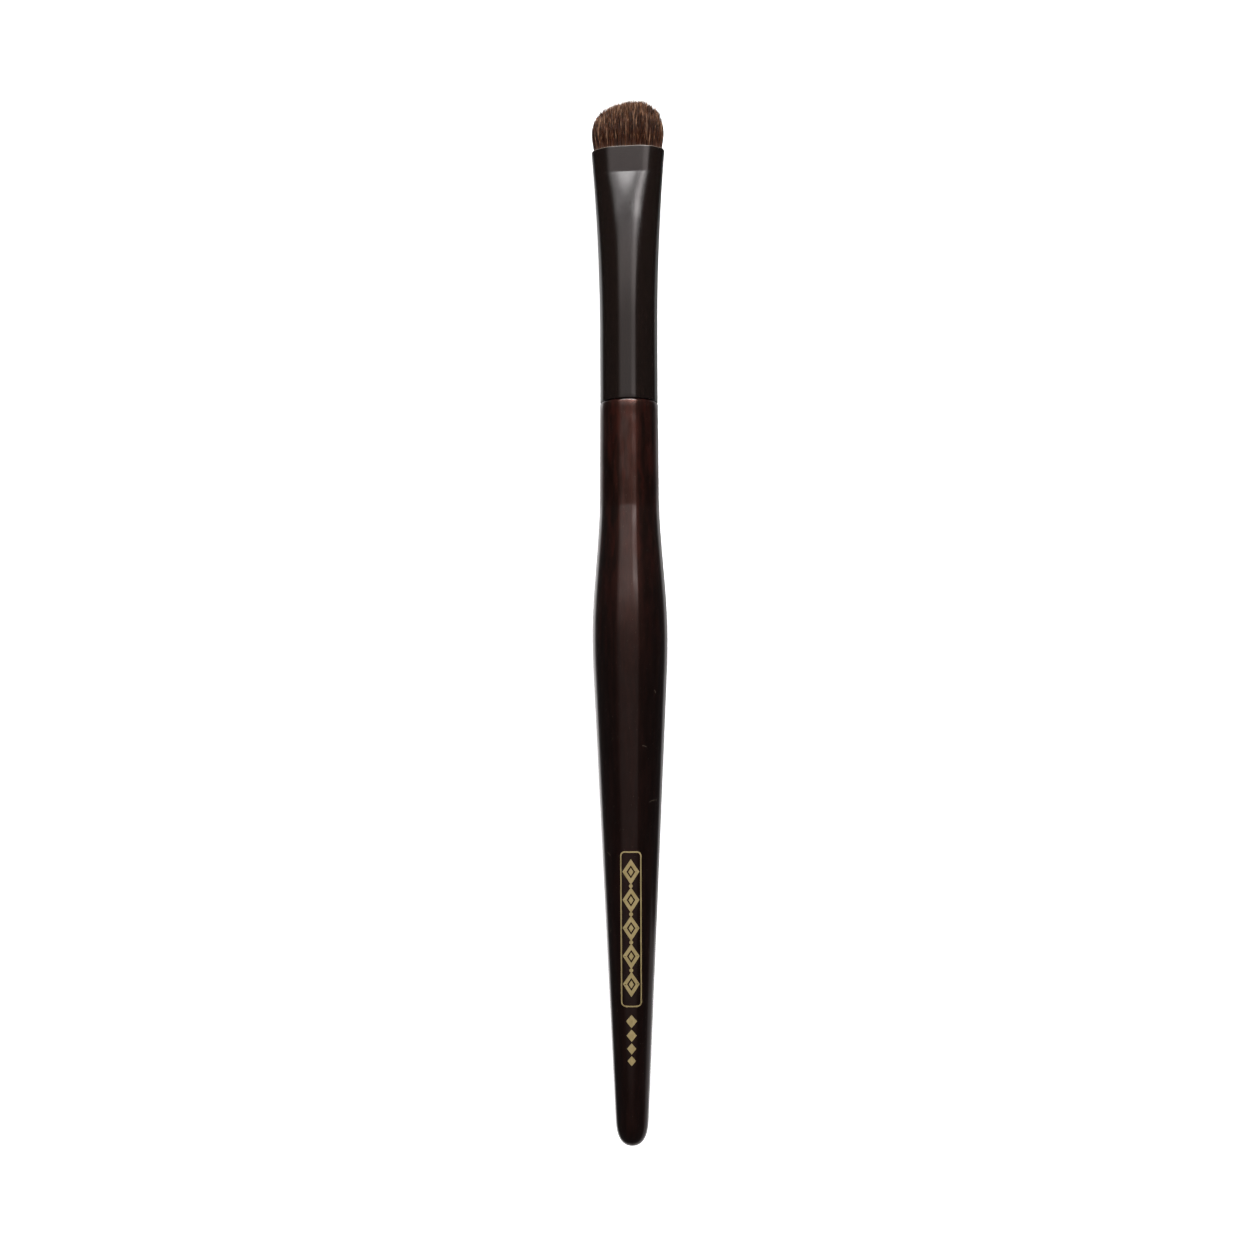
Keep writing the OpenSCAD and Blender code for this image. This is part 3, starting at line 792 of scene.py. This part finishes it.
# Every hair is a thin three-sided tube through the tuft that thins to a point. It leans with its
# lock, is drawn in to the lock's middle toward the tip, and strays and waves a little by itself.
# Its tone is the streaks' and its own, with more contrast higher up
def makeHair():
    draws = np.random.default_rng(hair["seed"])
    u, v = hairFeet(draws)
    count, locks, rings = len(u), hair["locks"], hair["rings"]
    lockU = draws.uniform(-1, 1, locks)
    lockV = draws.uniform(-1, 1, locks)
    halfW, halfT = ferrule["mouthW"] / 2, ferrule["mouthT"] / 2
    away = ((u[:, None] - lockU) * halfW) ** 2 + ((v[:, None] - lockV) * halfT) ** 2
    lock = away.argmin(axis=1)
    hairTone = 0.5 * draws.uniform(0, 1, locks)[lock] + 0.5 * draws.uniform(0, 1, count)
    odd = draws.uniform(0, 1, count)
    # the lighter hairs are partly paler hair and partly painted glints
    (paleAndGlintFrom, paleAndGlintLift), (darkTo, darker) = hair["paleAndGlintHairs"], hair["darkHairs"]
    hairTone += paleAndGlintLift * (odd > paleAndGlintFrom) - darker * (odd < darkTo)
    tip = tipHeights(u, v, lock, odd, draws)
    share = np.linspace(0, 1, rings + 1)[None, :]
    height = -hair["from"] + (tip[:, None] + hair["from"]) * share
    risen = np.clip(height / hair["reach"], 0, 1)
    pull = hair["draw"] * risen ** 1.5 * 0.5
    uPath = between(u[:, None], lockU[lock][:, None], pull)
    vPath = between(v[:, None], lockV[lock][:, None], pull)
    bulge = 1 + hair["bulge"] * draws.normal(0, 1, locks)[lock][:, None] * ease(height / hair["swellL"])
    path = tuftPoints(np.clip(uPath, -1, 1), np.clip(vPath, -1, 1), height)
    path[..., 2] = axisZ + (path[..., 2] - axisZ) * bulge
    phase = draws.uniform(0, 2 * math.pi, (2, count, 1))
    turns = draws.uniform(*hair["waves"], (2, count, 1))
    sway = hair["wave"] * risen * np.sin(2 * math.pi * turns * share + phase)
    aside = draws.normal(0, 1, (2, locks))[:, lock, None] * hair["lean"]
    aside = (aside + draws.normal(0, 1, (2, count, 1)) * hair["stray"]) * risen ** 2
    path[..., 0] += sway[0] + aside[0] * hair["sidewards"][0]
    path[..., 2] += sway[1] + aside[1] * hair["sidewards"][1]
    girth = hair["thick"] * np.clip((1.02 - share) / hair["taper"], 0, 1) ** hair["taperPower"]
    turn = draws.uniform(0, 2 * math.pi, (count, 1, 1)) + np.arange(3) * 2 * math.pi / 3
    tube = np.zeros((count, rings, 3, 3))
    tube += path[:, :-1, None, :]
    tube[..., 0] += girth[:, :-1, None] * np.cos(turn)
    tube[..., 2] += girth[:, :-1, None] * np.sin(turn)
    streaks = sum(streakValues(path, lean, draws) for lean in hair["cellLeans"])
    own = hair["streakTone"] * (streaks - 1) + hair["hairTone"] * (hairTone[:, None] - 0.5)
    contrast = hair["contrast"][0] + hair["contrast"][1] * risen
    return path[:, -1], tube, np.clip(hair["middleTone"] + contrast * own, 0, 1)


# Every third hair goes to the same piece: three sides between its rings, a tip and a foot. The
# map's X is the tone, a little further on at each of the three sides, and its Y is the share of
# the hair's length
def buildHair():
    tips, rings, tones = makeHair()
    material = hairFinish()
    pieces = []
    levels = hair["rings"]
    perHair = levels * 3 + 1
    toneWidth, hairWidth = hair["mapWidth"]
    tube = ringQuads(levels, 3)[:, ::-1]
    top, point = (levels - 1) * 3, levels * 3
    cap = np.array([[top + 1, top, point], [top + 2, top + 1, point], [top, top + 2, point]])
    foot = np.array([[0, 1, 2]])
    for part in range(hair["pieces"]):
        chosen = slice(part, None, hair["pieces"])
        count = len(tips[chosen])
        points = np.concatenate((rings[chosen].reshape(count, -1, 3), tips[chosen][:, None]), axis=1)
        starts = np.arange(count)[:, None, None] * perHair
        faces = [(block[None] + starts).reshape(-1, block.shape[1]) for block in (tube, cap, foot)]
        piece = makePiece("hair_" + "abc"[part], points, faces, material)
        layer = piece.data.uv_layers.new(name="OFBake")
        loops = np.zeros(len(piece.data.loops), int)
        piece.data.loops.foreach_get("vertex_index", loops)
        within = loops % perHair
        level = within // 3
        across = (within % 3) / 3 * hairWidth
        shade = tones[chosen][loops // perHair, level] * toneWidth + across
        spots = np.stack((shade, level / levels), axis=-1)
        layer.data.foreach_set("uv", spots.astype(np.float32).ravel())
        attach(piece, "root")
        pieces.append(piece)
    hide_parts("bristles")
    return pieces


hairPieces = buildHair()
print("hair made:", sum(len(piece.data.polygons) for piece in hairPieces), "faces")


# The darker and the lighter colour of each piece inside the ferrule
hidden = {
    "roots": (tone(38, 24, 18), tone(96, 66, 50)),
    "thread": (tone(176, 160, 130), tone(214, 202, 176)),
    "resin": (tone(112, 68, 22), tone(168, 112, 48)),
    "bubbles": tone(206, 170, 110),
    "glue": (tone(196, 178, 132), tone(228, 216, 182)),
}


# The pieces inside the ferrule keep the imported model's shapes and get finishes of their own
def dressInside():
    roots = newFinish("packed_hair_roots")
    strands = roots.noise(roots.place((1, 0.03, 1)), 9, 4, 0.6)
    roots.surface({
        "Base Color": roots.blend(roots.spread(strands, 0.32, 0.68), *hidden["roots"]),
        "Roughness": 0.5 + strands * 0.2,
        "Normal": roots.bump(strands, 0.8, 0.05 * mm),
    })
    thread = newFinish("waxed_cotton_thread")
    fibres = thread.noise(thread.place(), 11, 3, 0.6, 0.8)
    thread.surface({
        "Base Color": thread.blend(fibres, *hidden["thread"]),
        "Roughness": 0.55 + fibres * 0.25,
        "Normal": thread.bump(fibres, 0.6, 0.03 * mm),
    })
    resin = newFinish("amber_resin")
    cloud = resin.noise(resin.place(), 0.8, 4, 0.6)
    bubbles = resin.spread(resin.noise(resin.place(), 5, 2, 0.5), 0.66, 0.72)
    resin.surface({
        "Base Color": resin.blend(bubbles * 0.5, resin.blend(cloud, *hidden["resin"]), hidden["bubbles"]),
        "Roughness": 0.18 + cloud * 0.12,
        "Normal": resin.bump(cloud, 0.3, 0.05 * mm),
    })
    glue = newFinish("wood_glue")
    film = glue.noise(glue.place(), 1.4, 4, 0.6)
    glue.surface({
        "Base Color": glue.blend(film, *hidden["glue"]),
        "Roughness": 0.35 + film * 0.2,
        "Normal": glue.bump(film, 0.4, 0.03 * mm),
    })
    for node, finish in (("bristle_roots", roots), ("root_binding_thread", thread),
                         ("root_resin", resin), ("handle_glue", glue)):
        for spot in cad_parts[node].material_slots:
            spot.material = finish.owner


dressInside()
print("inside dressed")


view = {
    "orbit": 5.8,  # degrees round the brush's axis toward +X
    "lean": 0.257,  # degrees that the brush leans in the picture
    "distance": 160.5 * mm,
    "aim": (-0.586 * mm, -0.47 * mm),  # across the picture and along the brush
    "width": 182.7 * mm,  # what the picture takes in at the axis
    "sensor": 36.0,
    "nearest": 0.01,
}


# The camera looks down at the axis from its distance. Right and up are the level line and the
# brush's own line, both turned by the lean
def makeCamera():
    data = bpy.data.cameras.new("view")
    data.sensor_width = view["sensor"]
    data.lens = view["sensor"] * view["distance"] / view["width"]
    data.clip_start = view["nearest"]
    camera = bpy.data.objects.new("view", data)
    bpy.context.scene.collection.objects.link(camera)
    orbit, lean = math.radians(view["orbit"]), math.radians(view["lean"])
    back = np.array([math.sin(orbit), 0, math.cos(orbit)])
    level = np.array([math.cos(orbit), 0, -math.sin(orbit)])
    along = np.array([0, 1, 0])
    right = level * math.cos(lean) - along * math.sin(lean)
    up = along * math.cos(lean) + level * math.sin(lean)
    aimX, aimY = view["aim"]
    place = np.array([0, 0, axisZ]) + level * aimX + along * aimY + back * view["distance"]
    matrix = np.eye(4)
    matrix[:3, :4] = np.stack((right, up, back, place), axis=1)
    camera.matrix_world = Matrix(matrix.tolist())
    bpy.context.scene.camera = camera


# White to the camera and through glass, and otherwise dim, like a dark room
def makeWorld():
    world = bpy.data.worlds.new("studio")
    bpy.context.scene.world = world
    sky = Finish(world)
    shown = sky.add("LightPath", output="Is Camera Ray") + sky.add("LightPath", output="Is Transmission Ray")
    background = sky.add("Background", None, {"Color": (1, 1, 1, 1), "Strength": 0.05 + shown * 0.95})
    sky.add("OutputWorld", None, {"Surface": background})


# The paper's lengths are in millimetres
paper = {
    "half": 3000,
    "below": 0.05,  # under the line that the belly and the barrel rest on
    "grey": (0.8, 0.8, 0.8, 1),
    "glow": 0.75,  # what the camera sees on top of the lit grey
    "farGlow": 0.3,  # and what comes on top of that where the panels' light falls off
    "far": (120, 300),  # from the middle of the brush
    # Half the brush's width in centimetres, by share of its length from the tail to the tip
    "outline": ((0.0, 0.24), (0.485, 0.546), (0.63, 0.42), (0.8, 0.418), (0.95, 0.53)),
    # The painted reflection of the paper that the gloss sees on each side: its level at the brush's edge,
    # kept low there as a painted shadow of the brush, what it gains and over which distances, and where it
    # fades out
    "left": {"edge": 0.06, "gain": 0.94, "rise": (0.4, 4), "fade": (6.2, 11.5)},
    "right": {"edge": 0.08, "gain": 0.42, "rise": (0.4, 3.4), "fade": (4, 7.4)},
    "tailRightReflection": {"level": 0.24, "upTo": (-56, -44), "fade": (25, 60)},
    "room": 0.04,  # what the gloss sees of the rest
}


# White paper to the camera. To the gloss it is a painted reflection shaped round the brush: low at the
# brush's edge as a painted shadow, brighter a few millimetres out, and fading into the dark room beyond
def paperFinish():
    finish = newFinish("pale_floor")
    camera, glossy, through = (finish.add("LightPath", output="Is %s Ray" % kind)
                               for kind in ("Camera", "Glossy", "Transmission"))
    lit = finish.add("BsdfDiffuse", None, {"Color": paper["grey"]})
    spot = finish.place()
    across, along = finish.part(spot, "X"), finish.part(spot, "Y")
    beyond = finish.spread(across * across + along * along, *(far * far for far in paper["far"]))
    glow = finish.add("Emission", None, {
        "Color": (1, 1, 1, 1), "Strength": paper["glow"] + beyond * paper["farGlow"]})
    white = finish.add("AddShader", None, {0: lit, 1: glow})
    length = finish.spread(along, packedLow[1] / mm, packedHigh[1] / mm, False)
    edge = finish.add("ValToRGB", {"stops": paper["outline"]}, {0: length}) * 10  # millimetres
    away = abs(across) - edge

    # painted reflection of the paper on one side, with a painted shadow at the brush's edge
    def paintedReflectionSide(side):
        risen = side["edge"] + finish.spread(away, *side["rise"]) * side["gain"]
        return (1 - finish.spread(away, *side["fade"])) * risen

    # a painted reflection beside the tail on the right
    tail = paper["tailRightReflection"]
    tailward = (1 - finish.spread(along, *tail["upTo"])) * (1 - finish.spread(away, *tail["fade"]))
    leftward = across < 0
    right = paintedReflectionSide(paper["right"]) + tailward * tail["level"]
    level = paper["room"] + paintedReflectionSide(paper["left"]) * leftward + right * (1 - leftward)
    paintedReflection = finish.add("Emission", None, {"Color": (1, 1, 1, 1), "Strength": level})
    seen = finish.add("MixShader", None, {0: glossy, 1: white, 2: paintedReflection})
    shader = finish.add("MixShader", None, {0: camera + glossy + through, 1: lit, 2: seen})
    finish.add("OutputMaterial", None, {"Surface": shader})
    return finish.owner


# A square that rises toward the tip as much as the barrel's underside lies above the belly's
def makeFloor():
    half = paper["half"] * mm
    bellyY = jointY - handle["bellyAt"]
    slopeUp = (axisZ - ferrule["barrelD"] / 2) / (rimY - pressL - bellyY)
    corners = np.array([(-half, -half), (half, -half), (half, half), (-half, half)])
    points = np.column_stack((corners, (corners[:, 1] - bellyY) * slopeUp - paper["below"] * mm))
    floor = makePiece("floor", points, [np.array([[0, 1, 2, 3]])], paperFinish())


# Panels overhead, which span the given degrees from straight above the brush
panels = {
    "near_panel": {
        "tipward": (-32, 32),
        "sideways": (-39, 33),
        "strip": (0.71, 0.8),  # shares of the width at which the brighter strip starts and is full
        "fades": (0.26, 0.06),  # shares of the width that fade out at the left and the right
        "tint": (1, 0.9, 0.88),
        # Degrees toward the tip, the plain brightness there and what the strip adds
        "steps": ((-32, 0, 0), (-28, 0.15, 0), (-6, 0.15, 0), (-0.7, 0.17, 0), (4, 0.27, 0), (7, 0.4, 0),
                  (9, 0.66, 0.05), (10.5, 0.82, 0.3), (12.9, 0.88, 2.1), (15, 0.84, 0.3), (19.8, 0.84, 0.5),
                  (22.3, 0.9, 0.5), (23.7, 1.26, 0.8), (27.6, 1.5, 1.3), (30.8, 1.6, 1.15), (32, 1.6, 1)),
    },
    "middle_panel": {
        "tipward": (32, 39.3),
        "sideways": (-37.5, 30.8),
        "strip": (0.71, 0.82),
        "fades": (0.26, 0.13),
        "tint": (1, 0.95, 0.94),
        "steps": ((32, 1.6, 1), (33.2, 1.5, 0.95), (35.4, 0.9, 1), (36.4, 0.5, 2), (37.6, 0.38, 9),
                  (38.6, 0.75, 34), (39.3, 2, 40)),
    },
    "far_panel": {
        "tipward": (39.3, 76),
        "sideways": (-41.5, 36),
        "strip": (0.58, 0.68),
        "fades": (0.26, 0.03),
        "tint": (1, 0.98, 0.98),
        "steps": ((39.3, 2, 40), (39.8, 5.8, 28), (40.6, 12, 12), (50, 10, 4), (60, 5.5, 2), (76, 3.5, 1)),
    },
}
panelHeight = 1.2  # metres above the brush
rampTop = 40  # the brightness that a ramp's full white stands for


# A level panel overhead. Its brightness is the plain steps toward the tip, plus the strip's
# steps where the strip is, times a rise from the left edge and a fall to the right one
def makePanel(name, panel):
    low, high = (panelHeight * math.tan(math.radians(angle)) for angle in panel["tipward"])
    left, right = (panelHeight * math.tan(math.radians(angle)) for angle in panel["sideways"])
    data = bpy.data.lights.new(name, "AREA")
    data.shape = "RECTANGLE"
    data.size = right - left
    data.size_y = high - low
    data.energy = math.pi * data.size * data.size_y
    data.color = panel["tint"]
    lamp = bpy.data.objects.new(name, data)
    bpy.context.scene.collection.objects.link(lamp)
    lamp.location = ((left + right) / 2, (low + high) / 2, panelHeight)
    lamp.visible_camera = False
    glow = Finish(data)
    spot = glow.add("NewGeometry", output="Parametric")
    across, along = glow.part(spot, "X"), glow.part(spot, "Y")
    angles, *levels = zip(*panel["steps"])
    places = [(math.tan(math.radians(angle)) * panelHeight - low) / (high - low) for angle in angles]
    ramps = [[(place, level / rampTop) for place, level in zip(places, row)] for row in levels]
    plain, extra = (glow.add("ValToRGB", {"stops": stops}, {0: along}) * rampTop for stops in ramps)
    leftFade, rightFade = panel["fades"]
    level = (plain + extra * glow.spread(across, *panel["strip"])) * glow.spread(across, 0, leftFade)
    level = level * (1 - glow.spread(across, 1 - rightFade, 1))
    emission = glow.add("Emission", None, {"Strength": level})
    glow.add("OutputLight", None, {"Surface": emission})


makeCamera()
makeWorld()
makeFloor()
for name, panel in panels.items():
    makePanel(name, panel)
print("studio made:", len(panels), "panels")

bpy.context.scene.view_settings.view_transform = "Standard"
